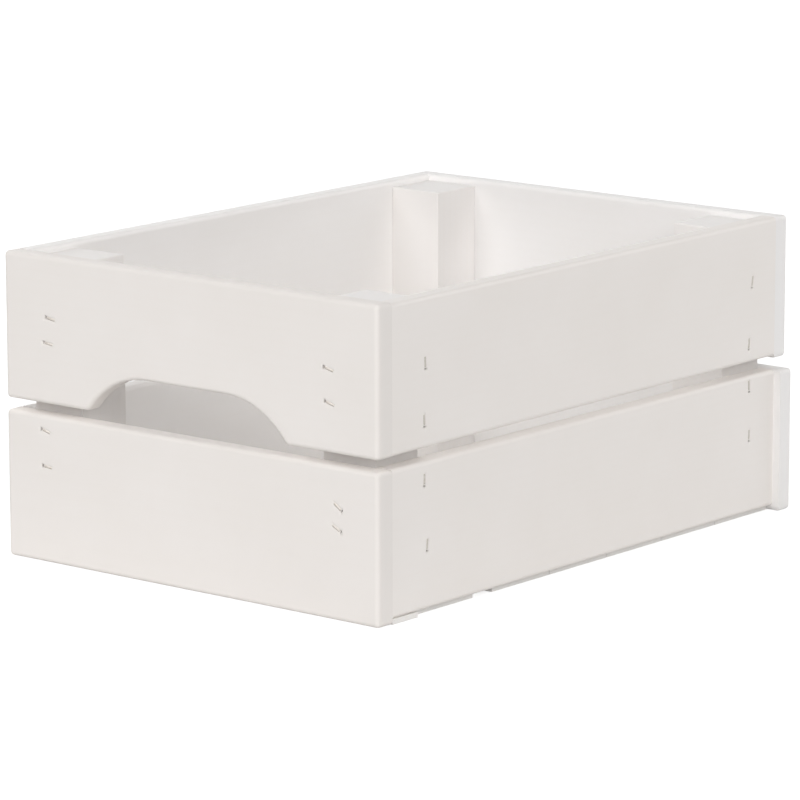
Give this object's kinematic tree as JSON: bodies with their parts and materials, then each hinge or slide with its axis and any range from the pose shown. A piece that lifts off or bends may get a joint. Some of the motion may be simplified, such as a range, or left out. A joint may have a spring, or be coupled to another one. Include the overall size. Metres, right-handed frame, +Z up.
{
  "type": "wooden storage crate",
  "caption": "Open-topped white painted wooden storage crate in two tiers of boards on corner posts, with a hand hole at each end and a slatted bottom.",
  "frame": {"origin": "middle of the base, on the floor that the crate stands on", "axes": "+X to the right and +Y to the back as seen from the front handle end, along the crate's length; +Z up"},
  "size_m": [0.232, 0.315, 0.147],
  "materials": {
    "board_paint": "satin white paint over planed softwood",
    "post_paint": "thin satin white paint over softwood",
    "slat_paint": "matt white paint over thin plywood",
    "staple_wire": "flat galvanised wire"
  },
  "bodies": {
    "root": {"front_lower_board": "board_paint", "front_upper_board": "board_paint", "back_lower_board": "board_paint", "back_upper_board": "board_paint", "right_lower_board": "board_paint", "right_upper_board": "board_paint", "left_lower_board": "board_paint", "left_upper_board": "board_paint", "front_left_post": "post_paint", "front_right_post": "post_paint", "back_left_post": "post_paint", "back_right_post": "post_paint", "bottom_strip": "slat_paint", "bottom_slat_1": "slat_paint", "bottom_slat_2": "slat_paint", "bottom_slat_3": "slat_paint", "bottom_slat_4": "slat_paint", "bottom_slat_5": "slat_paint", "bottom_slat_6": "slat_paint", "front_lower_staples": "staple_wire", "front_upper_staples": "staple_wire", "back_lower_staples": "staple_wire", "back_upper_staples": "staple_wire", "right_lower_staples": "staple_wire", "right_upper_staples": "staple_wire", "left_lower_staples": "staple_wire", "left_upper_staples": "staple_wire", "left_slat_staples": "staple_wire", "right_slat_staples": "staple_wire"}
  },
  "joints": []
}
